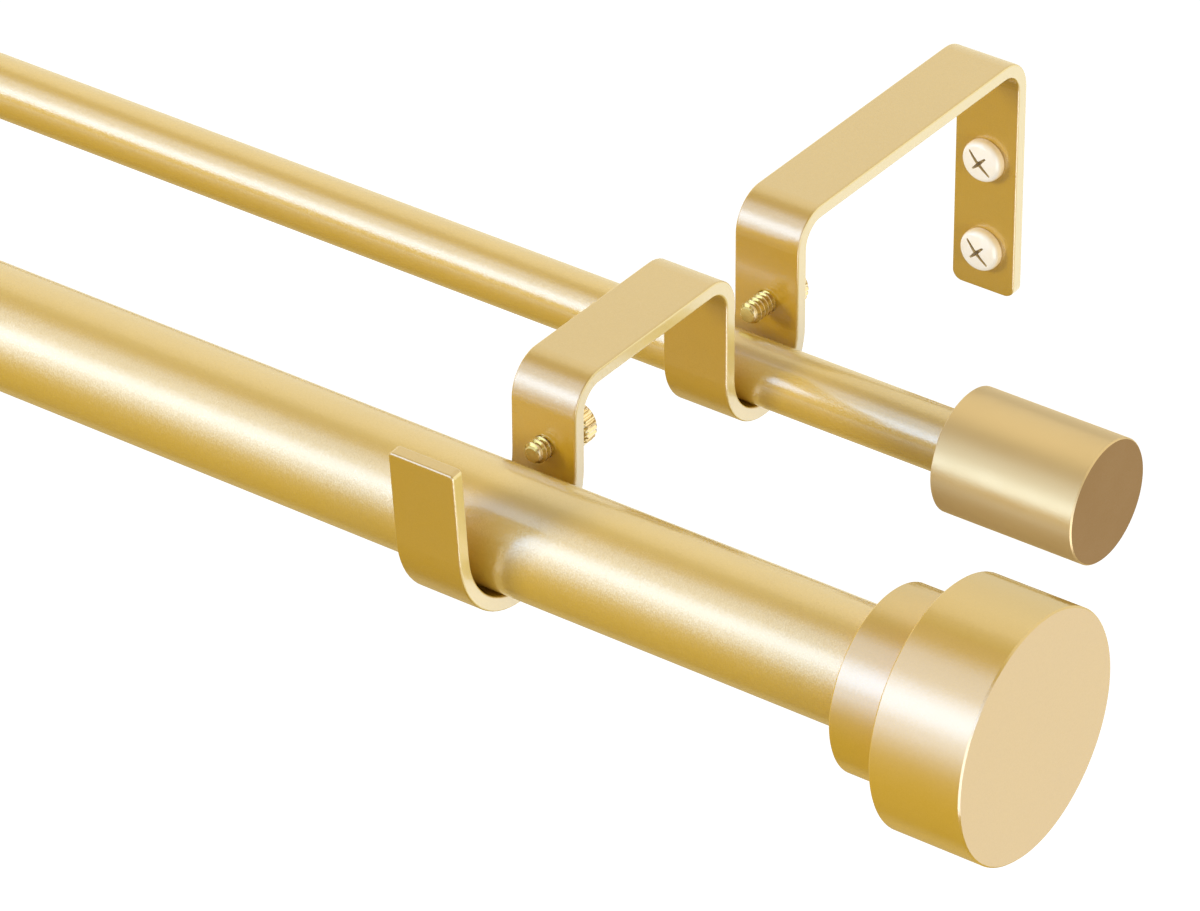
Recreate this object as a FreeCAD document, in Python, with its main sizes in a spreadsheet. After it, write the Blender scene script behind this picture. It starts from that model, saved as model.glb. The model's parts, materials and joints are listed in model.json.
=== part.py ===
"""Double curtain pole: a thick front pole and a thin back pole on two bent strip brackets.

Frame: +X runs along the poles towards the end with the thick tubes, +Y points from the room
into the wall, and +Z is up. The origin is on the wall, midway between the two wall screws of
the right bracket. Lengths are in millimetres.

Each pole is two tubes. The outer tube lies in the right bracket and the inner tube in the left
one, and the inner tube slides in a bush in the outer tube's mouth, which sets the length.
"""
import FreeCAD, Part
import math
import os

import Sketcher

Vector = FreeCAD.Vector

# Driving sizes: alias, value, what it is
SIZES = [
    ("strip_width", 16.0, "bracket strip, across"),
    ("strip_thickness", 3.2, "bracket strip, thickness"),
    ("strip_edge", 0.5, "rolled edge of the strip, radius"),
    ("plate_corner", 2.5, "rounded corner at the plate's end of the strip, radius"),
    ("hook_corner", 1.1, "rounded corner at the hook's end of the strip, radius"),
    ("bend_radius", 5.2, "inside radius of the square bends"),
    ("front_reach", 182.6, "wall to the front pole's axis"),
    ("back_reach", 97.9, "wall to the back pole's axis"),
    ("cradle_level", 0.8, "inside bottom of both cradles, above the wall screws' middle"),
    ("plate_drop", 21.8, "lower end of the wall plate, below the wall screws' middle"),
    ("arm_clearance", 12.7, "top of both arms above the top of the front pole"),
    ("hook_clearance", 12.7, "tip of the hook above the top of the front pole"),
    ("hook_lean", 4.8, "outward lean of the hook, degrees"),
    ("front_side_room", 5.0, "room on each side of the front pole in its cradle"),
    ("back_side_room", 4.3, "room on each side of the back pole in its cradle"),
    ("bracket_spacing", 521.6, "middle of one bracket to the middle of the other"),
    ("wall_screw_spacing", 22.5, "between the two wall screws"),
    ("wall_screw_dia", 4.8, "wall screw, over its thread"),
    ("wall_screw_neck", 4.4, "wall screw, plain neck under the head"),
    ("wall_screw_length", 12.7, "wall screw under its head"),
    ("wall_screw_point", 4.0, "pointed end of the wall screw, length"),
    ("wall_head_dia", 10.2, "wall screw head, across"),
    ("wall_head_height", 3.0, "wall screw head, height"),
    ("wall_head_rim", 1.2, "straight rim of the wall screw head, height"),
    ("wall_hole_dia", 5.5, "hole in the wall plate"),
    ("recess_span", 6.2, "cross recess, end to end"),
    ("recess_turn", 45.0, "cross recess, turned from upright, degrees"),
    ("recess_slot", 1.1, "cross recess, width of each slot"),
    ("recess_depth", 1.5, "cross recess, depth"),
    ("clamp_screw_dia", 5.0, "retaining screw, over its thread"),
    ("clamp_thread_room", 0.05, "radial room between the retaining screw and its tapped hole"),
    ("clamp_screw_length", 12.5, "retaining screw under its head"),
    ("clamp_head_dia", 9.5, "retaining screw head, across"),
    ("clamp_head_height", 4.0, "retaining screw head, height"),
    ("clamp_head_edge", 0.6, "chamfer of the retaining screw head"),
    ("clamp_tip_edge", 0.8, "chamfer of the retaining screw's end"),
    ("clamp_slot", 1.2, "driver slot of the retaining screw, width"),
    ("clamp_slot_depth", 1.4, "driver slot of the retaining screw, depth"),
    ("front_screw_reach", 4.0, "retaining screw beyond the front leg, towards the pole"),
    ("back_screw_reach", 7.0, "retaining screw beyond the rear leg, towards the pole"),
    ("front_screw_drop", 4.4, "retaining screw's axis below the top of the front pole"),
    ("back_screw_rise", 2.2, "retaining screw's axis above the top of the back pole"),
    ("front_pole_dia", 25.4, "front pole, outer tube, outside"),
    ("back_pole_dia", 13.8, "back pole, outer tube, outside"),
    ("tube_wall", 0.8, "wall of every tube"),
    ("bush_wall", 0.7, "wall of the mouth bush"),
    ("slide_room", 0.1, "radial running room of the inner tube and of its guide"),
    ("bush_length", 12.0, "mouth bush inside the outer tube"),
    ("bush_lip", 1.0, "lip of the mouth bush, thickness"),
    ("guide_length", 12.0, "guide plug inside the inner tube"),
    ("guide_flange", 2.0, "flange of the guide plug, thickness"),
    ("guide_room", 4.0, "between the closed guide plug and the finial insert"),
    ("guide_bore", 4.0, "bore through the guide plug"),
    ("mouth_room", 20.0, "outer tube's mouth clear of the left bracket"),
    ("insert_length", 16.0, "finial insert inside its tube"),
    ("insert_groove", 0.6, "depth of the grooves round the finial insert"),
    ("stud_dia", 5.0, "stud that joins a finial to its insert"),
    ("stud_in_insert", 12.0, "stud, length in the insert"),
    ("stud_in_finial", 8.0, "stud, length in the finial"),
    ("stud_edge", 0.5, "chamfer at both ends of the stud"),
    ("stud_end_room", 1.0, "blind hole of the finial beyond the stud"),
    ("front_overhang", 94.8, "bracket's middle to the front finial"),
    ("back_overhang", 57.7, "bracket's middle to the back finial"),
    ("collar_dia", 39.4, "front finial, collar"),
    ("collar_length", 13.8, "front finial, collar"),
    ("cap_dia", 53.0, "front finial, cap"),
    ("cap_length", 20.8, "front finial, cap"),
    ("cap_edge", 0.35, "chamfer round the front finial's edges"),
    ("back_finial_dia", 27.3, "back finial, across"),
    ("back_finial_length", 34.0, "back finial, length"),
    ("back_finial_edge", 0.3, "chamfer round the back finial's edges"),
]

doc = FreeCAD.newDocument("double_curtain_pole")
sheet = doc.addObject("Spreadsheet::Sheet", "Sizes")
for row, (alias, value, note) in enumerate(SIZES, start=1):
    sheet.set(f"A{row}", note)
    sheet.set(f"B{row}", str(value))
    sheet.setAlias(f"B{row}", alias)
doc.recompute()


def named(text):
    """An expression in the sheet's own words, ready for setExpression."""
    words = {alias for alias, value, note in SIZES}
    parts = []
    word = ""
    for letter in text + " ":
        if letter.isalnum() or letter == "_":
            word += letter
            continue
        parts.append("Sizes." + word if word in words else word)
        parts.append(letter)
        word = ""
    return "".join(parts).strip()


def size(text):
    """The number that an expression of the sheet's words gives now."""
    return float(sheet.evalExpression(named(text)))


# Places that several pieces share, as expressions of the driving sizes
POLE_TOP = "(cradle_level + front_pole_dia)"
ARM_TOP = f"({POLE_TOP} + arm_clearance)"
FRONT_CRADLE = "(front_pole_dia / 2 + front_side_room)"
BACK_CRADLE = "(back_pole_dia / 2 + back_side_room)"
FRONT_AXIS_Z = "(cradle_level + front_pole_dia / 2)"
BACK_AXIS_Z = "(cradle_level + back_pole_dia / 2)"
FRONT_SCREW_Z = f"({POLE_TOP} - front_screw_drop)"
BACK_SCREW_Z = "(cradle_level + back_pole_dia + back_screw_rise)"
FRONT_LEG = f"(front_reach - {FRONT_CRADLE})"
REAR_LEG = f"(back_reach - {BACK_CRADLE})"
TUBE_STEP = "(tube_wall + bush_wall + slide_room)"
MOUTH_X = "(strip_width / 2 + mouth_room - bracket_spacing)"


def new_body(label):
    body = doc.addObject("PartDesign::Body", label)
    body.Label = label
    return body


def put(body, x="0", y="0", z="0", turn=0.0):
    """Places a body at x, y, z of the sheet, turned about the vertical by turn degrees."""
    body.Placement = FreeCAD.Placement(Vector(0, 0, 0), FreeCAD.Rotation(Vector(0, 0, 1), turn))
    for letter, place in (("x", x), ("y", y), ("z", z)):
        body.setExpression(f"Placement.Base.{letter}", named(place))


def sketch_on(body, name, plane, offset=None):
    """A sketch on one of the body's own base planes, moved off it by an expression."""
    sketch = body.newObject("Sketcher::SketchObject", name)
    support = next(f for f in body.Origin.OriginFeatures if f.Role == plane)
    sketch.AttachmentSupport = [(support, "")]
    sketch.MapMode = "FlatFace"
    if offset is not None:
        sketch.setExpression("AttachmentOffset.Base.z", named(offset))
    return sketch


def bind(sketch, kind, geometry, text):
    """Adds a sizing constraint and binds it to the sheet."""
    now = math.radians(size(text)) if kind == "Angle" else size(text)
    number = sketch.addConstraint(Sketcher.Constraint(kind, *geometry, now))
    sketch.setExpression(f"Constraints[{number}]", named(text))


def bind_point(sketch, line, end, across, up):
    """Ties one end of a line to the origin by two distances, or to an axis where one is 0."""
    for axis, kind, text in ((-2, "DistanceX", across), (-1, "DistanceY", up)):
        if text == "0":
            sketch.addConstraint(Sketcher.Constraint("PointOnObject", line, end, axis))
        else:
            bind(sketch, kind, (-1, 1, line, end), text)


def outline(sketch, corners):
    """A closed outline whose corners are pairs of expressions."""
    points = [Vector(size(across), size(up), 0) for across, up in corners]
    for start, end in zip(points, points[1:] + points[:1]):
        sketch.addGeometry(Part.LineSegment(start, end), False)
    for line, (across, up) in enumerate(corners):
        before = (line - 1) % len(corners)
        sketch.addConstraint(Sketcher.Constraint("Coincident", before, 2, line, 1))
        bind_point(sketch, line, 1, across, up)


def circle(sketch, across, up, diameter):
    """A circle whose centre and diameter are expressions."""
    centre = Vector(size(across), size(up), 0)
    number = sketch.addGeometry(Part.Circle(centre, Vector(0, 0, 1), size(diameter) / 2), False)
    bind(sketch, "Diameter", (number,), diameter)
    if across == "0" and up == "0":
        sketch.addConstraint(Sketcher.Constraint("Coincident", number, 3, -1, 1))
    else:
        bind_point(sketch, number, 3, across, up)


def turned(label, profile):
    """A piece turned about its own X axis; the profile is pairs of length and radius."""
    body = new_body(label)
    sketch = sketch_on(body, label + "_profile", "XY_Plane")
    outline(sketch, profile)
    turn = body.newObject("PartDesign::Revolution", label + "_turned")
    turn.Profile = sketch
    turn.ReferenceAxis = (sketch, ["H_Axis"])
    turn.Angle = 360.0
    return body


def pocket(body, name, sketch, length, reversed_cut):
    """Cuts a sketch into the body and makes sure that something was cut."""
    doc.recompute()
    before = body.Shape.Volume
    cut = body.newObject("PartDesign::Pocket", name)
    cut.Profile = sketch
    cut.setExpression("Length", named(length))
    cut.Reversed = reversed_cut
    doc.recompute()
    if body.Shape.Volume >= before:
        raise RuntimeError(f"{name} cuts nothing")


# The bracket: one flat strip, bent six times

def strip_route(sketch):
    """The strip's centre line, from the wall plate's lower end to the tip of the hook."""
    half = "strip_thickness / 2"
    arm = f"{ARM_TOP} - {half}"
    bend = f"(bend_radius + {half})"
    wall = f"-({half})"
    rear_leg = f"-back_reach + {BACK_CRADLE} + {half}"
    middle_leg = f"-back_reach - {BACK_CRADLE} - {half}"
    front_leg = f"-front_reach + {FRONT_CRADLE} + {half}"
    back_centre = f"cradle_level + {BACK_CRADLE}"
    front_centre = f"cradle_level + {FRONT_CRADLE}"
    arm_y = size(arm)
    radius = size(bend)
    lean = math.radians(size("hook_lean"))

    def line(y0, z0, y1, z1):
        return sketch.addGeometry(Part.LineSegment(Vector(y0, z0, 0), Vector(y1, z1, 0)), False)

    def arc(centre_y, centre_z, r, first, last):
        full = Part.Circle(Vector(centre_y, centre_z, 0), Vector(0, 0, 1), r)
        return sketch.addGeometry(Part.ArcOfCircle(full, first, last), False)

    quarter = math.pi / 2
    wall_y = size(wall)
    rear_y = size(rear_leg)
    middle_y = size(middle_leg)
    front_y = size(front_leg)
    back_r = size(f"{BACK_CRADLE} + {half}")
    front_r = size(f"{FRONT_CRADLE} + {half}")
    back_z = size(back_centre)
    front_z = size(front_centre)
    hook_y = size("-front_reach") - front_r * math.cos(lean)
    hook_z = front_z - front_r * math.sin(lean)
    tip_z = size(f"{POLE_TOP} + hook_clearance")
    tip_y = hook_y - (tip_z - hook_z) * math.tan(lean)
    under = arm_y - radius

    plate = line(wall_y, size("-plate_drop"), wall_y, under)
    wall_bend = arc(wall_y - radius, under, radius, 0, quarter)
    rear_arm = line(wall_y - radius, arm_y, rear_y + radius, arm_y)
    rear_bend = arc(rear_y + radius, under, radius, quarter, 2 * quarter)
    rear = line(rear_y, under, rear_y, back_z)
    back_u = arc(size("-back_reach"), back_z, back_r, 2 * quarter, 4 * quarter)
    middle = line(middle_y, back_z, middle_y, under)
    middle_bend = arc(middle_y - radius, under, radius, 0, quarter)
    front_arm = line(middle_y - radius, arm_y, front_y + radius, arm_y)
    front_bend = arc(front_y + radius, under, radius, quarter, 2 * quarter)
    front = line(front_y, under, front_y, front_z)
    front_u = arc(size("-front_reach"), front_z, front_r, 2 * quarter + lean, 4 * quarter)
    hook = line(hook_y, hook_z, tip_y, tip_z)

    # An arc's first point is at its smaller angle, so the ends alternate along the route
    joints = [
        (plate, 2, wall_bend, 1), (wall_bend, 2, rear_arm, 1),
        (rear_arm, 2, rear_bend, 1), (rear_bend, 2, rear, 1),
        (rear, 2, back_u, 2), (back_u, 1, middle, 1),
        (middle, 2, middle_bend, 1), (middle_bend, 2, front_arm, 1),
        (front_arm, 2, front_bend, 1), (front_bend, 2, front, 1),
        (front, 2, front_u, 2), (front_u, 1, hook, 1),
    ]
    for joint in joints:
        sketch.addConstraint(Sketcher.Constraint("Tangent", *joint))
    for upright in (plate, rear, middle, front):
        sketch.addConstraint(Sketcher.Constraint("Vertical", upright))
    for level in (rear_arm, front_arm):
        sketch.addConstraint(Sketcher.Constraint("Horizontal", level))
    for corner in (wall_bend, rear_bend, middle_bend, front_bend):
        bind(sketch, "Radius", (corner,), bend)
    bind(sketch, "Radius", (back_u,), f"{BACK_CRADLE} + {half}")
    bind(sketch, "Radius", (front_u,), f"{FRONT_CRADLE} + {half}")
    bind_point(sketch, plate, 1, wall, "-plate_drop")
    bind(sketch, "DistanceY", (-1, 1, rear_arm, 1), arm)
    bind(sketch, "DistanceX", (-1, 1, rear, 1), rear_leg)
    bind(sketch, "DistanceY", (-1, 1, back_u, 3), back_centre)
    bind(sketch, "DistanceY", (-1, 1, front_arm, 1), arm)
    bind(sketch, "DistanceX", (-1, 1, front, 1), front_leg)
    bind(sketch, "DistanceY", (-1, 1, front_u, 3), front_centre)
    bind(sketch, "DistanceY", (-1, 1, hook, 2), f"{POLE_TOP} + hook_clearance")
    bind(sketch, "Angle", (hook,), "90 + hook_lean")


def end_corner_edges(shape, at_hook):
    """The short edges through the strip's thickness at the hook's end, or else at the plate's."""
    half = size("strip_width / 2")
    thickness = size("strip_thickness")
    names = []
    for number, edge in enumerate(shape.Edges, start=1):
        at_side = all(abs(abs(v.X) - half) < 1e-4 for v in edge.Vertexes)
        same_side = len({v.X > 0 for v in edge.Vertexes}) == 1
        right_end = (edge.CenterOfMass.z > 0) == at_hook
        if right_end and at_side and same_side and abs(edge.Length - thickness) < 1e-3:
            names.append(f"Edge{number}")
    return names


def broad_face_rims(shape):
    """The long edges where the strip's two broad faces meet its narrow sides."""
    half = size("strip_width / 2")
    shortest = size("strip_thickness") * 1.01
    names = []
    for number, edge in enumerate(shape.Edges, start=1):
        middle = edge.valueAt((edge.FirstParameter + edge.LastParameter) / 2)
        if abs(abs(middle.x) - half) < 1e-4 and edge.Length > shortest:
            names.append(f"Edge{number}")
    return names


def bracket(label, x, z):
    """One bracket: the bent strip with two wall holes and two tapped holes."""
    body = new_body(label)
    route = sketch_on(body, label + "_route", "YZ_Plane")
    strip_route(route)
    section = sketch_on(body, label + "_section", "XY_Plane", "-plate_drop")
    outline(section, [
        ("-strip_width / 2", "-strip_thickness"),
        ("strip_width / 2", "-strip_thickness"),
        ("strip_width / 2", "0"),
        ("-strip_width / 2", "0"),
    ])
    doc.recompute()
    strip = body.newObject("PartDesign::AdditivePipe", label + "_strip")
    strip.Profile = section
    strip.Spine = (route, [f"Edge{number + 1}" for number in range(len(route.Shape.Edges))])
    doc.recompute()
    base = strip
    for end, radius in (("plate", "plate_corner"), ("hook", "hook_corner")):
        corners = body.newObject("PartDesign::Fillet", f"{label}_{end}_corners")
        corners.Base = (base, end_corner_edges(base.Shape, end == "hook"))
        corners.setExpression("Radius", named(radius))
        doc.recompute()
        base = corners
    rims = body.newObject("PartDesign::Fillet", label + "_rims")
    rims.Base = (base, broad_face_rims(base.Shape))
    rims.setExpression("Radius", named("strip_edge"))

    wall_holes = sketch_on(body, label + "_wall_holes", "XZ_Plane")
    for side in ("wall_screw_spacing / 2", "-wall_screw_spacing / 2"):
        circle(wall_holes, "0", side, "wall_hole_dia")
    pocket(body, label + "_wall_hole_cut", wall_holes, "strip_thickness * 1.5", True)

    tapped = "clamp_screw_dia + 2 * clamp_thread_room"
    for leg, face, level in (("rear", REAR_LEG, BACK_SCREW_Z), ("front", FRONT_LEG, FRONT_SCREW_Z)):
        hole = sketch_on(body, f"{label}_{leg}_hole", "XZ_Plane", face + " + strip_thickness / 2")
        circle(hole, "0", level, tapped)
        pocket(body, f"{label}_{leg}_hole_cut", hole, "strip_thickness * 2", False)
    put(body, x=x, z=z)


# Screws

def round_rim(body, name, x, radius, fillet):
    """Rounds the circular edge of a turned piece that lies at x and has the given radius."""
    doc.recompute()
    base = body.Tip
    rims = []
    for number, edge in enumerate(base.Shape.Edges, start=1):
        whole = isinstance(edge.Curve, Part.Circle) and len(edge.Vertexes) == 1
        if whole and abs(edge.Curve.Radius - size(radius)) < 1e-6:
            if abs(edge.Curve.Center.x - size(x)) < 1e-6:
                rims.append(f"Edge{number}")
    rounding = body.newObject("PartDesign::Fillet", name)
    rounding.Base = (base, rims)
    rounding.setExpression("Radius", named(fillet))


def wall_screw(label, x, z):
    """A pan-head screw into the wall, with a cross recess and a pointed end."""
    under = "wall_head_height"
    neck_end = f"{under} + strip_thickness"
    point = f"{under} + wall_screw_length - wall_screw_point"
    body = turned(label, [
        ("0", "0"),
        ("0", "wall_head_dia / 2"),
        (under, "wall_head_dia / 2"),
        (under, "wall_screw_neck / 2"),
        (neck_end, "wall_screw_neck / 2"),
        (neck_end, "wall_screw_dia / 2"),
        (point, "wall_screw_dia / 2"),
        (f"{under} + wall_screw_length", "0"),
    ])
    round_rim(body, label + "_dome", "0", "wall_head_dia / 2", "wall_head_height - wall_head_rim")
    recess = sketch_on(body, label + "_recess", "YZ_Plane")
    recess.AttachmentOffset = FreeCAD.Placement(Vector(0, 0, 0), Vector(0, 0, 1), size("recess_turn"))
    recess.setExpression("AttachmentOffset.Rotation.Angle", named("recess_turn"))
    long = "recess_span / 2"
    thin = "recess_slot / 2"
    outline(recess, [
        (thin, thin), (long, thin), (long, "-" + thin), (thin, "-" + thin),
        (thin, "-" + long), ("-" + thin, "-" + long), ("-" + thin, "-" + thin),
        ("-" + long, "-" + thin), ("-" + long, thin), ("-" + thin, thin),
        ("-" + thin, long), (thin, long),
    ])
    pocket(body, label + "_recess_cut", recess, "recess_depth", True)
    put(body, x=x, y="-(strip_thickness + wall_head_height)", z=z, turn=90.0)


def retaining_screw(label, x, tip_y, z):
    """A screw through a bracket leg that keeps the pole in its cradle; its end is at tip_y."""
    end = "clamp_head_height + clamp_screw_length"
    body = turned(label, [
        ("0", "0"),
        ("0", "clamp_head_dia / 2 - clamp_head_edge"),
        ("clamp_head_edge", "clamp_head_dia / 2"),
        ("clamp_head_height - clamp_head_edge", "clamp_head_dia / 2"),
        ("clamp_head_height", "clamp_head_dia / 2 - clamp_head_edge"),
        ("clamp_head_height", "clamp_screw_dia / 2"),
        (f"{end} - clamp_tip_edge", "clamp_screw_dia / 2"),
        (end, "clamp_screw_dia / 2 - clamp_tip_edge"),
        (end, "0"),
    ])
    slot = sketch_on(body, label + "_slot", "YZ_Plane")
    outline(slot, [
        ("-clamp_slot / 2", "-clamp_head_dia"),
        ("clamp_slot / 2", "-clamp_head_dia"),
        ("clamp_slot / 2", "clamp_head_dia"),
        ("-clamp_slot / 2", "clamp_head_dia"),
    ])
    pocket(body, label + "_slot_cut", slot, "clamp_slot_depth", True)
    put(body, x=x, y=f"{tip_y} + {end}", z=z, turn=-90.0)


# Poles

def tube(label, outside, length, x, y, z):
    """A straight tube from x towards +X."""
    body = new_body(label)
    section = sketch_on(body, label + "_section", "YZ_Plane")
    circle(section, "0", "0", outside)
    circle(section, "0", "0", f"{outside} - 2 * tube_wall")
    run = body.newObject("PartDesign::Pad", label + "_run")
    run.Profile = section
    run.setExpression("Length", named(length))
    put(body, x=x, y=y, z=z)


def mouth_bush(label, outside, y, z):
    """The bush in the outer tube's mouth; its lip covers the tube's end."""
    bore = f"{outside} / 2 - tube_wall - bush_wall"
    sleeve = f"{outside} / 2 - tube_wall"
    end = "bush_lip + bush_length"
    body = turned(label, [
        ("0", bore),
        ("0", f"{outside} / 2"),
        ("bush_lip", f"{outside} / 2"),
        ("bush_lip", sleeve),
        (end, sleeve),
        (end, bore),
    ])
    put(body, x=f"{MOUTH_X} - bush_lip", y=y, z=z)


def guide_plug(label, outside, x, y, z):
    """The plug in the inner tube's hidden end; its flange runs in the outer tube from x."""
    body = turned(label, [
        ("0", "guide_bore / 2"),
        ("0", f"{outside} / 2 - tube_wall - slide_room"),
        ("guide_flange", f"{outside} / 2 - tube_wall - slide_room"),
        ("guide_flange", f"{outside} / 2 - {TUBE_STEP} - tube_wall"),
        ("guide_flange + guide_length", f"{outside} / 2 - {TUBE_STEP} - tube_wall"),
        ("guide_flange + guide_length", "guide_bore / 2"),
    ])
    put(body, x=x, y=y, z=z, turn=180.0)


def finial_insert(label, bore, x, y, z, turn):
    """The grooved plug in a tube's end, tapped for the finial's stud."""
    bands = 7
    profile = [("0", "stud_dia / 2")]
    for band in range(bands):
        cut = " - insert_groove" if band % 2 else ""
        profile.append((f"insert_length * {band} / {bands}" if band else "0", f"{bore} / 2{cut}"))
        profile.append((f"insert_length * {band + 1} / {bands}", f"{bore} / 2{cut}"))
    profile.append(("insert_length", "stud_dia / 2"))
    put(turned(label, profile), x=x, y=y, z=z, turn=turn)


def stud(label, x, y, z):
    """The stud that holds a finial on its insert."""
    length = "(stud_in_insert + stud_in_finial)"
    body = turned(label, [
        ("0", "0"),
        ("0", "stud_dia / 2 - stud_edge"),
        ("stud_edge", "stud_dia / 2"),
        (f"{length} - stud_edge", "stud_dia / 2"),
        (length, "stud_dia / 2 - stud_edge"),
        (length, "0"),
    ])
    put(body, x=x, y=y, z=z)


# Finials

STUD_HOLE = "(stud_in_finial + stud_end_room)"


def front_finial(label, x, y, z, turn):
    """The turned cap of the front pole: a collar and a larger cap in one piece."""
    end = "(collar_length + cap_length)"
    body = turned(label, [
        ("0", "stud_dia / 2"),
        ("0", "collar_dia / 2 - cap_edge"),
        ("cap_edge", "collar_dia / 2"),
        ("collar_length", "collar_dia / 2"),
        ("collar_length", "cap_dia / 2 - cap_edge"),
        ("collar_length + cap_edge", "cap_dia / 2"),
        (f"{end} - cap_edge", "cap_dia / 2"),
        (end, "cap_dia / 2 - cap_edge"),
        (end, "0"),
        (STUD_HOLE, "0"),
        (STUD_HOLE, "stud_dia / 2"),
    ])
    put(body, x=x, y=y, z=z, turn=turn)


def back_finial(label, x, y, z, turn):
    """The plain turned cylinder on the back pole."""
    body = turned(label, [
        ("0", "stud_dia / 2"),
        ("0", "back_finial_dia / 2 - back_finial_edge"),
        ("back_finial_edge", "back_finial_dia / 2"),
        ("back_finial_length - back_finial_edge", "back_finial_dia / 2"),
        ("back_finial_length", "back_finial_dia / 2 - back_finial_edge"),
        ("back_finial_length", "0"),
        (STUD_HOLE, "0"),
        (STUD_HOLE, "stud_dia / 2"),
    ])
    put(body, x=x, y=y, z=z, turn=turn)


# The right bracket is at the origin. The left one is higher by the step between the tubes,
# because the thinner inner tubes lie in its cradles.

ENDS = [("right", "0", "0"), ("left", "-bracket_spacing", TUBE_STEP)]
for end, bracket_x, rise in ENDS:
    bracket(f"bracket_{end}", bracket_x, rise)
    wall_screw(f"wall_screw_{end}_upper", bracket_x, f"{rise} + wall_screw_spacing / 2")
    wall_screw(f"wall_screw_{end}_lower", bracket_x, f"{rise} - wall_screw_spacing / 2")
    retaining_screw(f"retaining_screw_{end}_front", bracket_x,
                    f"-{FRONT_LEG} - front_screw_reach", f"{FRONT_SCREW_Z} + {rise}")
    retaining_screw(f"retaining_screw_{end}_back", bracket_x,
                    f"-{REAR_LEG} - back_screw_reach", f"{BACK_SCREW_Z} + {rise}")

# Each pole: its name, its outside, its axis, its finial and the finial's place past the bracket

POLES = [
    ("front", "front_pole_dia", "-front_reach", FRONT_AXIS_Z, front_finial, "front_overhang"),
    ("back", "back_pole_dia", "-back_reach", BACK_AXIS_Z, back_finial, "back_overhang"),
]
for pole, outside, y, z, finial, overhang in POLES:
    inside = f"({outside} - 2 * {TUBE_STEP})"
    right_end = overhang
    left_end = f"-(bracket_spacing + {overhang})"
    guide_x = f"({overhang} - insert_length - guide_room)"
    tube(f"{pole}_outer_tube", outside, f"{overhang} - {MOUTH_X}", MOUTH_X, y, z)
    mouth_bush(f"{pole}_mouth_bush", outside, y, z)
    tube(f"{pole}_inner_tube", inside, f"{guide_x} - guide_flange - ({left_end})", left_end, y, z)
    guide_plug(f"{pole}_guide_plug", outside, guide_x, y, z)
    finial_insert(f"{pole}_insert_right", f"({outside} - 2 * tube_wall)", right_end, y, z, 180.0)
    finial_insert(f"{pole}_insert_left", f"({inside} - 2 * tube_wall)", left_end, y, z, 0.0)
    stud(f"{pole}_stud_right", f"{right_end} - stud_in_insert", y, z)
    stud(f"{pole}_stud_left", f"{left_end} - stud_in_finial", y, z)
    finial(f"{pole}_finial_right", right_end, y, z, 0.0)
    finial(f"{pole}_finial_left", left_end, y, z, 180.0)

doc.recompute()

# Nothing is written unless every object is sound

for item in doc.Objects:
    if "Invalid" in item.State or "Error" in item.State:
        raise RuntimeError(f"{item.Label} failed: {item.State}")
bodies = [item for item in doc.Objects if item.TypeId == "PartDesign::Body"]
for body in bodies:
    shape = body.Shape
    if shape.isNull() or not shape.isValid() or len(shape.Solids) != 1:
        raise RuntimeError(f"{body.Label} is not one sound solid")

os.makedirs("parts", exist_ok=True)
for body in bodies:
    body.Shape.exportStep(f"parts/{body.Label}.step")
    print(f"{body.Label}: {body.Shape.Volume:.1f} cubic mm")
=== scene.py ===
# %% [markdown]
# # Finishing a double curtain pole
# The shapes of the poles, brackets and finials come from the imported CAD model, which is loaded
# here as a fixed frame. This lesson gives them their finish: champagne paint with fine metal
# flake, satin turned finials, pale plated screws. It also builds the small parts that a solid
# model leaves plain, which are the threads, the toothed heads and the cross recesses.
# Everything is in metres, so sizes that are easier to read in millimetres are times MM.

import json
import math

import bmesh
import bpy
from mathutils import Matrix, Vector


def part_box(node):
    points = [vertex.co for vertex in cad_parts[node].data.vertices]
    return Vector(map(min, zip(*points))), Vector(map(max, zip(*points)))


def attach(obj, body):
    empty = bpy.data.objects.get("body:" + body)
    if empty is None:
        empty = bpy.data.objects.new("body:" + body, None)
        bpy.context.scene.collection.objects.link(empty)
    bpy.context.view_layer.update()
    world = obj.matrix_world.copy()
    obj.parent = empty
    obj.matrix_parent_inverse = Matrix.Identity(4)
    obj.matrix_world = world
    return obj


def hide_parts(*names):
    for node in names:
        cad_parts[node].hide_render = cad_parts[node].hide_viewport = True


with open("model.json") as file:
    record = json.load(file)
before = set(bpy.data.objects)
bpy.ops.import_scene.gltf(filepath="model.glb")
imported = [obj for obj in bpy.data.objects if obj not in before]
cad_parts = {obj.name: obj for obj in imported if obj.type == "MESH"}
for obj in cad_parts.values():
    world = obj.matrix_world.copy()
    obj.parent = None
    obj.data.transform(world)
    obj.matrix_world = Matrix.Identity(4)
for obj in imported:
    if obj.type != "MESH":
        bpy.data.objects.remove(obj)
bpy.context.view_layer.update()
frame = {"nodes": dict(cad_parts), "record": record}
nodes = frame["nodes"]
MM = 0.001

# %% [markdown]
# ## The camera
# A catalogue picture of a long thin object is taken from far away with a long lens, so that the
# pole hardly tapers. The viewpoint is given the way a photographer would say it: how far round
# to the right, how high, how far away, and which point the lens is aimed at. The camera's own
# axes follow from that: it looks along its -Z, with +Y up in the picture.

# %% Camera
VIEW_TURN = math.radians(36.12)
VIEW_RISE = math.radians(32.83)
VIEW_ROLL = math.radians(-0.36)
VIEW_DISTANCE = 1.4225
AIM = Vector((14.94, -166.08, 25.92)) * MM
LENS_MM = 214.5
SENSOR_MM = 36.0

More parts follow.
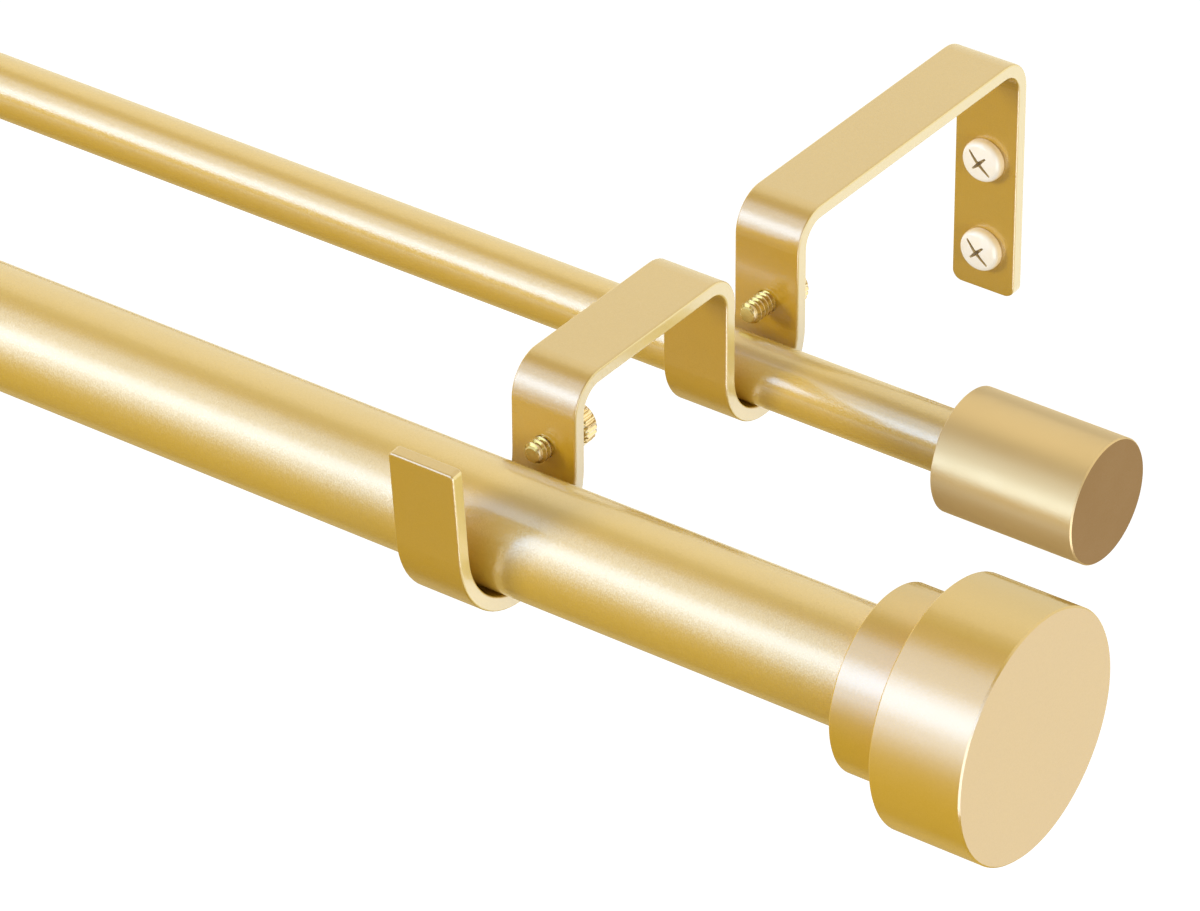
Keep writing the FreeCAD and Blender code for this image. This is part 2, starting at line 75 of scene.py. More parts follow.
to_camera = Vector((
    math.sin(VIEW_TURN) * math.cos(VIEW_RISE),
    -math.cos(VIEW_TURN) * math.cos(VIEW_RISE),
    math.sin(VIEW_RISE),
))
level = Vector((math.cos(VIEW_TURN), math.sin(VIEW_TURN), 0.0))
upright = to_camera.cross(level)
picture_x = level * math.cos(VIEW_ROLL) + upright * math.sin(VIEW_ROLL)
picture_y = upright * math.cos(VIEW_ROLL) - level * math.sin(VIEW_ROLL)

camera_data = bpy.data.cameras.new("catalogue_lens")
camera_data.lens = LENS_MM
camera_data.sensor_width = SENSOR_MM
camera = bpy.data.objects.new("catalogue_camera", camera_data)
bpy.context.scene.collection.objects.link(camera)
camera_axes = Matrix((picture_x, picture_y, to_camera)).transposed().to_4x4()
camera.matrix_world = Matrix.Translation(AIM + to_camera * VIEW_DISTANCE) @ camera_axes
bpy.context.scene.camera = camera
bpy.context.scene.view_settings.view_transform = "Standard"
print(f"camera at {tuple(round(v, 3) for v in camera.location)}")

# %% [markdown]
# ## Small helpers
# Node trees are easier to read when each line makes one node. The first helper makes a node with
# its settings, and the second one a Math node whose inputs are numbers or other nodes' outputs.
# The third finds the rays that a viewer sees directly, in a mirror image or through something
# clear, so that a light can look one way in the picture and be another way for the object.

# %% Node helpers
def shader_node(tree, kind, **settings):
    """A shader node of that kind, with its own settings."""
    made = tree.nodes.new("ShaderNode" + kind)
    for name, value in settings.items():
        setattr(made, name, value)
    return made


def maths(tree, operation, *values):
    """A Math node on one to three values, each a socket or a number; gives its output."""
    made = shader_node(tree, "Math", operation=operation)
    for socket, value in zip(made.inputs, values):
        if isinstance(value, bpy.types.NodeSocket):
            tree.links.new(value, socket)
        else:
            socket.default_value = value
    return made.outputs["Value"]


def seen_as_picture(tree):
    """1 for the rays that make the picture: camera rays, mirror images and clear views."""
    path = shader_node(tree, "LightPath")
    glossy = path.outputs["Is Glossy Ray"]
    clear = path.outputs["Is Transmission Ray"]
    indirect = maths(tree, "MAXIMUM", glossy, clear)
    return maths(tree, "MAXIMUM", path.outputs["Is Camera Ray"], indirect)


# %% [markdown]
# ## The white studio
# The background is plain white. It could be a brightly lit wall, but that light would wash out the
# object, so the world shows white only to the rays that make the picture and lights the object at
# a lower level. The floor is pale, as far below the pole as a real one would be, and does the same:
# it glows a little for the picture, sends light back up, and still takes the object's shadow.

# %% World and floor
SURROUND_LIGHT = 0.54
FLOOR_LEVEL = -1.6
FLOOR_SIDE = 30.0
FLOOR_GLOW = 0.56
FLOOR_PALE = (0.80, 0.80, 0.80)
WHITE = (1.0, 1.0, 1.0)

world = bpy.data.worlds.new("white_studio")
world.use_nodes = True
bpy.context.scene.world = world
backdrop = world.node_tree.nodes["Background"]
backdrop.inputs["Color"].default_value = (*WHITE, 1.0)
strength = maths(world.node_tree, "MAXIMUM", seen_as_picture(world.node_tree), SURROUND_LIGHT)
world.node_tree.links.new(strength, backdrop.inputs["Strength"])


def flat_sheet(name, side, height):
    """A square sheet that lies level at that height."""
    sheet = bmesh.new()
    bmesh.ops.create_grid(sheet, x_segments=1, y_segments=1, size=side / 2)
    bmesh.ops.translate(sheet, verts=sheet.verts, vec=(0, 0, height))
    mesh = bpy.data.meshes.new(name)
    sheet.to_mesh(mesh)
    sheet.free()
    made = bpy.data.objects.new(name, mesh)
    bpy.context.scene.collection.objects.link(made)
    return made


floor_finish = bpy.data.materials.new("studio_floor")
floor_finish.use_nodes = True
floor_tree = floor_finish.node_tree
floor_paint = floor_tree.nodes["Principled BSDF"]
floor_paint.inputs["Base Color"].default_value = (*FLOOR_PALE, 1.0)
floor_paint.inputs["Roughness"].default_value = 1.0
floor_paint.inputs["Specular IOR Level"].default_value = 0.0
floor_paint.inputs["Emission Color"].default_value = (*WHITE, 1.0)
floor_glow = maths(floor_tree, "MULTIPLY", seen_as_picture(floor_tree), FLOOR_GLOW)
floor_tree.links.new(floor_glow, floor_paint.inputs["Emission Strength"])
floor = flat_sheet("studio_floor", FLOOR_SIDE, FLOOR_LEVEL)
floor.data.materials.append(floor_finish)
print(f"floor {-FLOOR_LEVEL} m below the wall screws")

# %% [markdown]
# ## What the gloss reflects
# Paint with this much gloss shows its surroundings more than its lamps. The long soft stripe
# along each pole is a lit panel in front and above, the dull stripe next to it is a grey panel
# overhead, and the deep gold below the middle is a dark cloth in front and below. All three are
# one long tent that curves round the poles' direction. Only mirror rays see it, so it doesn't
# light or shade anything else. How bright it is at each angle is kept in the mesh as an attribute,
# which is easier to tune than a stack of lamps. Angles are in degrees, start towards the room and
# rise over the top.
# The tent has a dim gap past the right end of the poles, which its columns describe as places
# along X and a share of the brightness. Without the gap the flat arms, seen from behind, would
# mirror the panel so strongly that they burn out.
# The panel is daylight, a little cool, and the cloth has a faint warm glow of its own, because the
# gold pieces light their surroundings. That keeps the highlights pale and the shades golden.
# Behind the top hangs a card of cream cloth, which the level faces of the brackets mirror.
# Another one of honey cloth stands low behind, and lifts the undersides of the poles.

# %% Reflection tent
TENT_RADIUS = 1.4
TENT_COLUMNS = [(-4.0, 1.0), (0.2, 1.0), (0.5, 0.15), (1.7, 0.15), (2.0, 1.0), (4.0, 1.0)]
CARD_COLUMNS = [(-4.0, 1.0), (4.0, 1.0)]
TENT_MIDDLE = Vector((0.0, -0.14, 0.0))
TENT_BRIGHTNESS = [
    (-88, 0.03), (-50, 0.02), (-34, 0.09), (-22, 0.24), (-12, 0.66), (-4, 1.2), (4, 1.85),
    (10, 2.1), (16, 2.95), (22, 3.55), (30, 3.65), (36, 3.2), (41, 2.6), (46, 1.85), (50, 1.55),
    (60, 1.45), (68, 1.28), (74, 0.78), (82, 0.34), (94, 0.26),
]
CARD_BRIGHTNESS = [
    (94, 0.38), (98, 0.5), (104, 0.64), (108, 0.85), (112, 1.08), (124, 1.24), (132, 1.3),
    (172, 1.3), (184, 1.2), (196, 1.1), (216, 1.0),
]
LOW_CARD_BRIGHTNESS = [(-136, 0.6), (-104, 0.55), (-96, 0.4), (-88, 0.26)]
TENT_STEP = 2
DAYLIGHT = (0.48, 0.70, 1.0)
WARM_GLOW = (0.24, 0.13, 0.01)
CREAM = (1.0, 0.90, 0.64)
HONEY = (1.0, 0.76, 0.36)
NO_GLOW = (0.0, 0.0, 0.0)


def brightness_at(angle, stops):
    """The brightness at that angle, between the two nearest stops."""
    for (low, dim), (high, bright) in zip(stops, stops[1:]):
        if low <= angle <= high:
            return dim + (bright - dim) * (angle - low) / (high - low)
    return stops[-1][1]


def curved_sheet(name, stops, columns):
    """A long part-round sheet about the poles' direction, with its brightness at every point."""
    angles = range(stops[0][0], stops[-1][0] + 1, TENT_STEP)
    points = []
    levels = []
    for angle in angles:
        out = Vector((0.0, -math.cos(math.radians(angle)), math.sin(math.radians(angle))))
        for along, share in columns:
            points.append(TENT_MIDDLE + out * TENT_RADIUS + Vector((along, 0.0, 0.0)))
            levels.append(brightness_at(angle, stops) * share)
    faces = []
    wide = len(columns)
    for row in range(len(angles) - 1):
        for column in range(wide - 1):
            corner = row * wide + column
            faces.append((corner, corner + 1, corner + 1 + wide, corner + wide))
    mesh = bpy.data.meshes.new(name)
    mesh.from_pydata(points, [], faces)
    brightness = mesh.attributes.new("brightness", "FLOAT", "POINT")
    brightness.data.foreach_set("value", levels)
    made = bpy.data.objects.new(name, mesh)
    bpy.context.scene.collection.objects.link(made)
    return made


def only_in_reflections(panel, finish):
    """Leaves the panel to mirror rays, so that it neither shows, lights nor shades."""
    panel.data.materials.append(finish)
    panel.visible_camera = False
    panel.visible_diffuse = False
    panel.visible_transmission = False
    panel.visible_shadow = False


def glowing_cloth(name, tint, own_glow):
    """A cloth that glows by its brightness attribute times a tint, plus a glow of its own."""
    cloth = bpy.data.materials.new(name)
    cloth.use_nodes = True
    tree = cloth.node_tree
    tree.nodes.remove(tree.nodes["Principled BSDF"])
    glow = shader_node(tree, "Emission")
    level = shader_node(tree, "Attribute", attribute_name="brightness")
    colour = shader_node(tree, "VectorMath", operation="MULTIPLY_ADD")
    colour.inputs[1].default_value = tint
    colour.inputs[2].default_value = own_glow
    tree.links.new(level.outputs["Fac"], colour.inputs[0])
    tree.links.new(colour.outputs["Vector"], glow.inputs["Color"])
    tree.links.new(glow.outputs["Emission"], tree.nodes["Material Output"].inputs["Surface"])
    return cloth


tent = curved_sheet("reflection_tent", TENT_BRIGHTNESS, TENT_COLUMNS)
only_in_reflections(tent, glowing_cloth("tent_cloth", DAYLIGHT, WARM_GLOW))
card = curved_sheet("cream_card", CARD_BRIGHTNESS, CARD_COLUMNS)
only_in_reflections(card, glowing_cloth("cream_cloth", CREAM, NO_GLOW))
low_card = curved_sheet("honey_card", LOW_CARD_BRIGHTNESS, CARD_COLUMNS)
only_in_reflections(low_card, glowing_cloth("honey_cloth", HONEY, NO_GLOW))
for sheet in (tent, card, low_card):
    print(f"{sheet.name} of {len(sheet.data.polygons)} faces")

# %% [markdown]
# The cut edges of the strips and the flat ends of the finials all face the same way, along the
# poles. They look a little brighter than the white around them, so a lit panel stands where
# those flats mirror it: behind the object, low and to the right.
# A brighter panel stands low in front on the right. Only the narrow slopes between a side and an
# end mirror it, which draws the fine bright line down the left of each finial's face.

# %% Side and rim panels
PANEL_SIDE = 0.9
PANEL_AWAY = 1.1
SIDE_PANEL_BRIGHTNESS = 1.14
RIM_PANEL_BRIGHTNESS = 3.0
white_cloth = glowing_cloth("white_cloth", WHITE, NO_GLOW)


def mirror_panel(name, normal, brightness):
    """A lit square panel in the place that a flat with that normal mirrors for the camera."""
    normal = normal.normalized()
    mirrored_view = normal * (2 * to_camera.dot(normal)) - to_camera
    panel = flat_sheet(name, PANEL_SIDE, 0.0)
    level = panel.data.attributes.new("brightness", "FLOAT", "POINT")
    level.data.foreach_set("value", [brightness] * len(panel.data.vertices))
    panel.rotation_mode = "QUATERNION"
    panel.rotation_quaternion = mirrored_view.to_track_quat("Z", "Y")
    panel.location = AIM + mirrored_view * PANEL_AWAY
    only_in_reflections(panel, white_cloth)
    print(f"{name} at {tuple(round(v, 2) for v in panel.location)}")


mirror_panel("side_panel", Vector((1.0, 0.0, 0.0)), SIDE_PANEL_BRIGHTNESS)
mirror_panel("rim_panel", Vector((1.0, -0.98, 0.18)), RIM_PANEL_BRIGHTNESS)

# %% [markdown]
# ## Two soft lamps
# The surrounding light alone would leave the screws and bends without shadows. The main lamp, in
# front and to the left and only a little above, gives each screw head its short shadow to the
# right. A weaker fill from the right keeps the cut edges of the strips pale, since they face away
# from the main lamp. The lamps' own mirror images are off, because the tent stands for them.

# %% Lamps
LAMP_AWAY = 3.0
MAIN_FROM = Vector((-0.65, -0.69, 0.32))
FILL_FROM = Vector((0.90, -0.25, 0.10))


def soft_lamp(name, direction, size, watts):
    """A square lamp that stands off in that direction and is turned towards the object."""
    data = bpy.data.lights.new(name, "AREA")
    data.shape = "SQUARE"
    data.size = size
    data.energy = watts
    made = bpy.data.objects.new(name, data)
    bpy.context.scene.collection.objects.link(made)
    made.location = AIM + direction.normalized() * LAMP_AWAY
    made.rotation_mode = "QUATERNION"
    made.rotation_quaternion = direction.to_track_quat("Z", "Y")
    made.visible_glossy = False
    print(f"{name} of {watts} W, {LAMP_AWAY} m away")


soft_lamp("main_lamp", MAIN_FROM, size=0.9, watts=53.0)
soft_lamp("fill_lamp", FILL_FROM, size=1.2, watts=35.0)

# %% [markdown]
# ## Effects that several finishes share
# Each effect is a node group with named inputs, so a finish only says how strong it is.
# The first is metal flake. Under champagne paint lie countless tiny flat flakes, and each leans
# its own way. Bump from a height can't make flat flakes, so every cell of a Voronoi texture gets
# its own leaning normal instead. The colour of a cell is a random vector from 0 to 1, and with
# 0.5 taken away it leans to all sides alike.

# %% Metal flake group
def effect_group(name, numbers, outputs, vectors=()):
    """A node group with number inputs, vector inputs and outputs, and its two end nodes."""
    group = bpy.data.node_groups.new(name, "ShaderNodeTree")
    for label, value in numbers:
        socket = group.interface.new_socket(label, in_out="INPUT", socket_type="NodeSocketFloat")
        socket.default_value = value
    for label in vectors:
        group.interface.new_socket(label, in_out="INPUT", socket_type="NodeSocketVector")
    for label, kind in outputs:
        group.interface.new_socket(label, in_out="OUTPUT", socket_type="NodeSocket" + kind)
    return group, group.nodes.new("NodeGroupInput"), group.nodes.new("NodeGroupOutput")


flake, flake_in, flake_out = effect_group(
    "metal_flake",
    [("Flakes per metre", 3600.0), ("Lean", 0.1)],
    [("Normal", "Vector"), ("Glint", "Float")],
)
flake_place = shader_node(flake, "TexCoord")
flake_cells = shader_node(flake, "TexVoronoi", voronoi_dimensions="3D")
flake_centred = shader_node(flake, "VectorMath", operation="SUBTRACT")
flake_centred.inputs[1].default_value = (0.5, 0.5, 0.5)
flake_lean = shader_node(flake, "VectorMath", operation="SCALE")
flake_surface = shader_node(flake, "NewGeometry")
flake_sum = shader_node(flake, "VectorMath", operation="ADD")
flake_unit = shader_node(flake, "VectorMath", operation="NORMALIZE")
flake_split = shader_node(flake, "SeparateXYZ")
flake.links.new(flake_place.outputs["Object"], flake_cells.inputs["Vector"])
flake.links.new(flake_in.outputs["Flakes per metre"], flake_cells.inputs["Scale"])
flake.links.new(flake_cells.outputs["Color"], flake_centred.inputs[0])
flake.links.new(flake_centred.outputs["Vector"], flake_lean.inputs[0])
flake.links.new(flake_in.outputs["Lean"], flake_lean.inputs["Scale"])
flake.links.new(flake_surface.outputs["Normal"], flake_sum.inputs[0])
flake.links.new(flake_lean.outputs["Vector"], flake_sum.inputs[1])
flake.links.new(flake_sum.outputs["Vector"], flake_unit.inputs[0])
flake.links.new(flake_unit.outputs["Vector"], flake_out.inputs["Normal"])
flake.links.new(flake_cells.outputs["Color"], flake_split.inputs["Vector"])
flake.links.new(flake_split.outputs["X"], flake_out.inputs["Glint"])
print(f"group {flake.name}: {len(flake.nodes)} nodes")

# %% [markdown]
# The second effect is the lacquer's own surface. Sprayed lacquer never lies quite flat, it has a
# faint texture like orange peel, a millimetre or so from crest to crest. A noise texture gives
# its height, and each finish says how deep it is on a Bump node.
# The third effect is handling: broad, faint patches where the surface is a little duller. They
# break up long even stripes, which otherwise look computed.

# %% Lacquer and handling groups
peel, peel_in, peel_out = effect_group(
    "lacquer_peel", [("Waves per metre", 900.0)], [("Height", "Float")]
)
peel_place = shader_node(peel, "TexCoord")
peel_noise = shader_node(peel, "TexNoise", noise_dimensions="3D")
peel_noise.inputs["Detail"].default_value = 1.0
peel.links.new(peel_place.outputs["Object"], peel_noise.inputs["Vector"])
peel.links.new(peel_in.outputs["Waves per metre"], peel_noise.inputs["Scale"])
peel.links.new(peel_noise.outputs["Fac"], peel_out.inputs["Height"])

handling, handling_in, handling_out = effect_group(
    "handling_marks", [("Patches per metre", 45.0)], [("Mask", "Float")]
)
handling_place = shader_node(handling, "TexCoord")
handling_noise = shader_node(handling, "TexNoise", noise_dimensions="3D")
handling_noise.inputs["Detail"].default_value = 4.0
handling_noise.inputs["Roughness"].default_value = 0.6
handling_spread = shader_node(handling, "MapRange", interpolation_type="SMOOTHSTEP")
handling_spread.inputs["From Min"].default_value = 0.35
handling_spread.inputs["From Max"].default_value = 0.65
handling.links.new(handling_place.outputs["Object"], handling_noise.inputs["Vector"])
handling.links.new(handling_in.outputs["Patches per metre"], handling_noise.inputs["Scale"])
handling.links.new(handling_noise.outputs["Fac"], handling_spread.inputs["Value"])
handling.links.new(handling_spread.outputs["Result"], handling_out.inputs["Mask"])
print(f"groups {peel.name} and {handling.name}")

# %% [markdown]
# The fourth effect is turning. A finial is cut on a lathe, and the tool leaves fine lines round
# it: straight bands on its side and rings on its end. Both come from one pattern, if the noise is
# read at the distance along the axis plus the distance out from it, because only one of the
# two changes on each face. The axis runs along X, so a finish says where it is in Y and Z. The
# group also gives a mask of the flat ends, whose normals lie along the axis.

# %% Turned lines group
FLAT_END = 0.9

turning, turning_in, turning_out = effect_group(
    "turned_lines",
    [("Lines per metre", 5000.0), ("Axis Y", 0.0), ("Axis Z", 0.0)],
    [("Height", "Float"), ("End face", "Float")],
)
turning_place = shader_node(turning, "TexCoord")
turning_split = shader_node(turning, "SeparateXYZ")
turning.links.new(turning_place.outputs["Object"], turning_split.inputs["Vector"])
off_y = maths(turning, "SUBTRACT", turning_split.outputs["Y"], turning_in.outputs["Axis Y"])
off_z = maths(turning, "SUBTRACT", turning_split.outputs["Z"], turning_in.outputs["Axis Z"])
y_squared = maths(turning, "MULTIPLY", off_y, off_y)
z_squared = maths(turning, "MULTIPLY", off_z, off_z)
outward = maths(turning, "POWER", maths(turning, "ADD", y_squared, z_squared), 0.5)
travel = maths(turning, "ADD", turning_split.outputs["X"], outward)
turning_noise = shader_node(turning, "TexNoise", noise_dimensions="1D")
turning_noise.inputs["Detail"].default_value = 2.0
turning.links.new(travel, turning_noise.inputs["W"])
turning.links.new(turning_in.outputs["Lines per metre"], turning_noise.inputs["Scale"])
turning.links.new(turning_noise.outputs["Fac"], turning_out.inputs["Height"])
turning_surface = shader_node(turning, "NewGeometry")
turning_facing = shader_node(turning, "SeparateXYZ")
turning.links.new(turning_surface.outputs["True Normal"], turning_facing.inputs["Vector"])
along_axis = maths(turning, "ABSOLUTE", turning_facing.outputs["X"])
on_end = maths(turning, "GREATER_THAN", along_axis, FLAT_END)
turning.links.new(on_end, turning_out.inputs["End face"])
print(f"group {turning.name}: {len(turning.nodes)} nodes")

# %% [markdown]
# The fifth effect is a grain that leans. Brushing along a round piece leaves fine scratches with
# one steep side and one flat side, like the pile of velvet, so the highlight sits beside the
# place where plain polish would show it. Turning the normal a little about the piece's axis
# gives that, and leaves the flat ends alone, because their normals lie on the axis.

# %% Leaning grain group
grain, grain_in, grain_out = effect_group(
    "leaning_grain", [("Lean angle", 0.2)], [("Normal", "Vector")], vectors=("Normal",)
)
grain_turn = shader_node(grain, "VectorRotate", rotation_type="X_AXIS")
turned_back = maths(grain, "MULTIPLY", grain_in.outputs["Lean angle"], -1.0)
grain.links.new(grain_in.outputs["Normal"], grain_turn.inputs["Vector"])
grain.links.new(turned_back, grain_turn.inputs["Angle"])
grain.links.new(grain_turn.outputs["Vector"], grain_out.inputs["Normal"])
print(f"group {grain.name}: {len(grain.nodes)} nodes")

# %% [markdown]
# The last effect only tells which way a face looks: along the poles, as the cut edges of the
# strips do, or towards the room, as the screw heads do. A finish uses it to give such faces a tone
# of their own, which is painted light: a painted highlight on the cut edges, and on the screws'
# sides a tone that stands in for how light falls on them.

# %% Face direction group
facing, _, facing_out = effect_group(
    "face_direction", [], [("Along poles", "Float"), ("To the room", "Float")]
)
facing_surface = shader_node(facing, "NewGeometry")
facing_split = shader_node(facing, "SeparateXYZ")
facing.links.new(facing_surface.outputs["Normal"], facing_split.inputs["Vector"])
for axis, output in (("X", "Along poles"), ("Y", "To the room")):
    share = maths(facing, "ABSOLUTE", facing_split.outputs[axis])
    facing.links.new(share, facing_out.inputs[output])
print(f"group {facing.name}: {len(facing.nodes)} nodes")

# %% [markdown]
# ## Champagne paint
# The poles, the brackets and the front finials have the same paint: a deep gold that stays the
# same from every side, and over it a strong, colourless gloss. The gold is the base colour.
# The gloss is a high index of refraction, because it has to stay white where it mirrors white, and
# a metallic surface would tint it. The flakes show where the light changes quickly.
# These first helpers serve all the finishes.

# %% Finish helpers
def use_group(tree, group, **values):
    """A group placed in a material, with its inputs set; underscores stand for spaces."""
    placed = shader_node(tree, "Group", node_tree=group)
    for name, value in values.items():
        placed.inputs[name.replace("_", " ")].default_value = value
    return placed


def blend_colours(tree, share, first, second):
    """From first to second as share goes from 0 to 1; each is a socket or a colour."""
    mixed = shader_node(tree, "Mix", data_type="RGBA")
    tree.links.new(share, mixed.inputs["Factor"])
    for label, value in (("A", first), ("B", second)):
        if isinstance(value, bpy.types.NodeSocket):
            tree.links.new(value, mixed.inputs[label])
        else:
            mixed.inputs[label].default_value = (*value, 1.0)
    return mixed.outputs["Result"]


def new_finish(name):
    """A material with nodes, its tree and its Principled shader."""
    material = bpy.data.materials.new(name)
    material.use_nodes = True
    return material, material.node_tree, material.node_tree.nodes["Principled BSDF"]


def bump(tree, height, depth, normal=None):
    """A Bump node of that depth in metres over a normal; gives its normal."""
    made = shader_node(tree, "Bump")
    made.inputs["Distance"].default_value = depth
    tree.links.new(height, made.inputs["Height"])
    if normal is not None:
        tree.links.new(normal, made.inputs["Normal"])
    return made.outputs["Normal"]


def constants(shader, values):
    """Sets inputs of the shader to plain numbers."""
    for label, value in values.items():
        shader.inputs[label].default_value = value


def dull_by(tree, shader, mask, extra, roughness):
    """The shader's roughness, with a little extra where the mask is 1."""
    tree.links.new(maths(tree, "MULTIPLY_ADD", mask, extra, roughness), shader.inputs["Roughness"])


print("helpers for finishes")

# %% [markdown]
# The paint itself mixes two close tones: each flake takes its own share of the deeper one, and the
# handled patches take a little more of it. The cut edges of the strips get a paler tone of their
# own, a painted highlight, which starts where a normal points that much along the poles.

# %% Champagne paint
FLAKE_TONE = 0.6
HANDLED_TONE = 0.3
DEEPER = 0.93
EDGE_HIGHLIGHT_FROM = 0.75
CLEAR_COAT = {"Coat Weight": 1.0, "Coat IOR": 2.1, "Coat Roughness": 0.16}
POLE_GOLD = (0.74, 0.457, 0.024)
# The brackets' gold is the poles' paint painted darker, as shade on their flats.
BRACKET_GOLD_PAINTED_SHADE = (0.61, 0.352, 0.006)
# The paler gold of the cut edges is a painted highlight.
BRACKET_EDGE_PAINTED_HIGHLIGHT = (0.87, 0.67, 0.20)


def champagne_paint(name, gold, edge_painted_highlight, gloss, roughness, lean, peel_depth):
    """Gold paint of two close tones with leaning flakes and a painted edge highlight, under a clear
    coat.
    """
    material, tree, shader = new_finish(name)
    flakes = use_group(tree, flake, Flakes_per_metre=5000.0, Lean=lean)
    marks = use_group(tree, handling, Patches_per_metre=45.0)
    waves = use_group(tree, peel, Waves_per_metre=900.0)
    handled = maths(tree, "MULTIPLY", marks.outputs["Mask"], HANDLED_TONE)
    tone = maths(tree, "MULTIPLY_ADD", flakes.outputs["Glint"], FLAKE_TONE, handled)
    body_gold = blend_colours(tree, tone, gold, tuple(part * DEEPER for part in gold))
    direction = use_group(tree, facing)
    # Faces along the poles, the cut edges, take the paler tone: a painted highlight.
    edge_highlight_mask = maths(tree, "GREATER_THAN", direction.outputs["Along poles"], EDGE_HIGHLIGHT_FROM)
    gold_with_edge_highlight = blend_colours(tree, edge_highlight_mask, body_gold, edge_painted_highlight)
    tree.links.new(gold_with_edge_highlight, shader.inputs["Base Color"])
    dull_by(tree, shader, marks.outputs["Mask"], extra=0.04, roughness=roughness)
    normal = bump(tree, waves.outputs["Height"], peel_depth, flakes.outputs["Normal"])
    tree.links.new(normal, shader.inputs["Normal"])
    constants(shader, {"IOR": gloss, **CLEAR_COAT})
    return material


pole_paint = champagne_paint(
    "pole_champagne", POLE_GOLD, POLE_GOLD,
    gloss=2.55, roughness=0.36, lean=0.24, peel_depth=0.004 * MM,
)
bracket_paint = champagne_paint(
    "bracket_champagne", BRACKET_GOLD_PAINTED_SHADE, BRACKET_EDGE_PAINTED_HIGHLIGHT,
    gloss=2.4, roughness=0.30, lean=0.16, peel_depth=0.003 * MM,
)
print(f"{pole_paint.name} and {bracket_paint.name}")

# %% [markdown]
# ## Finials
# The front finial has the champagne paint over a turned surface, so the tool's lines still show
# through faintly. The thin pole's finial looks different in the picture: its gold is browner and
# its gloss is tinted, which is what bare satin brass does, and its flat end is dull and brown.
# So that one is partly metallic on its side, with the leaning grain over its turned lines, and the
# mask of the turned group picks out the end, which is bare metal.

# %% Finial finishes
def axis_of(node):
    """Y and Z of the axis of a turned node."""
    low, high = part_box(node)
    return (low.y + high.y) / 2, (low.z + high.z) / 2


def turned_finish(name, node, line_depth, roughness, lean=0.0):
    """A material with a turned surface, its tree, shader, turned group and flake group."""
    material, tree, shader = new_finish(name)
    axis_y, axis_z = axis_of(node)
    lines = use_group(tree, turning, Lines_per_metre=5000.0, Axis_Y=axis_y, Axis_Z=axis_z)
    marks = use_group(tree, handling, Patches_per_metre=60.0)
    flakes = use_group(tree, flake, Flakes_per_metre=4500.0, Lean=0.03)
    dull_by(tree, shader, marks.outputs["Mask"], extra=0.06, roughness=roughness)
    normal = bump(tree, lines.outputs["Height"], line_depth, flakes.outputs["Normal"])
    if lean:
        leaning = use_group(tree, grain, Lean_angle=lean)
        tree.links.new(normal, leaning.inputs["Normal"])
        normal = leaning.outputs["Normal"]
    tree.links.new(normal, shader.inputs["Normal"])
    return material, tree, shader, lines, flakes


FINIAL_GOLD = (0.71, 0.430, 0.036)
FINIAL_DEEP = (0.675, 0.404, 0.030)
front_finial_finish, tree, shader, _, flakes = turned_finish(
    "turned_champagne", "front_finial_right", line_depth=0.001 * MM, roughness=0.12
)
front_colour = blend_colours(tree, flakes.outputs["Glint"], FINIAL_GOLD, FINIAL_DEEP)
tree.links.new(front_colour, shader.inputs["Base Color"])
constants(shader, {"IOR": 3.05})

SATIN_BRASS = (0.69, 0.48, 0.18)
BROWN_END = (0.29, 0.158, 0.036)
SIDE_METAL = 0.35
back_finial_finish, tree, shader, lines, _ = turned_finish(
    "satin_brass", "back_finial_right",
    line_depth=0.002 * MM, roughness=0.30, lean=math.radians(14),
)
on_end = lines.outputs["End face"]
back_colour = blend_colours(tree, on_end, SATIN_BRASS, BROWN_END)
part_metal = maths(tree, "MULTIPLY_ADD", on_end, 1.0 - SIDE_METAL, SIDE_METAL)
tree.links.new(back_colour, shader.inputs["Base Color"])
tree.links.new(part_metal, shader.inputs["Metallic"])
constants(shader, {"IOR": 2.6})
print(f"{front_finial_finish.name} and {back_finial_finish.name}")

# %% [markdown]
# ## Screws, nylon and steel
# The screws are plated, much paler than the paint: the wall screws nearly white, the retaining
# screws a light gold. Their sides take another tone than the faces towards the room, which is
# painted light: a paler tone on the retaining screws, a painted highlight on threads and teeth, a
# deeper gold on the wall screws, painted shade on their shoulders, and the darker cloud tone on the
# hidden zinc studs. The wall screws' recesses are painted brown as shade, so the plating blends
# those tones in. The nylon bush only shows as a thin lip at each tube's mouth, and the steel studs
# sit inside the finials. Even hidden parts get a finish that would stand a closer look.

# %% Plated finishes
FACE_ON = 0.75
SIDEWAYS = 0.2
# The brown of the recesses is painted shade.
RECESS_PAINTED_SHADE = (0.50, 0.37, 0.17)
PALE_PLATE = (1.0, 0.94, 0.82)
PALE_CLOUD = (1.0, 0.92, 0.76)
# The wall screws' deeper gold shoulders are painted shade.
PALE_SIDE_PAINTED_SHADE = (0.95, 0.75, 0.43)
GOLD_PLATE = (0.69, 0.505, 0.125)
GOLD_CLOUD = (0.61, 0.445, 0.105)
# The retaining screws' paler threads and teeth are a painted highlight.
GOLD_SIDE_PAINTED_HIGHLIGHT = (1.0, 0.865, 0.58)
ZINC = (0.72, 0.72, 0.70)
# The zinc's cloud tone also darkens the studs' sides, as painted shade.
ZINC_CLOUD_AND_PAINTED_SHADE = (0.60, 0.60, 0.59)


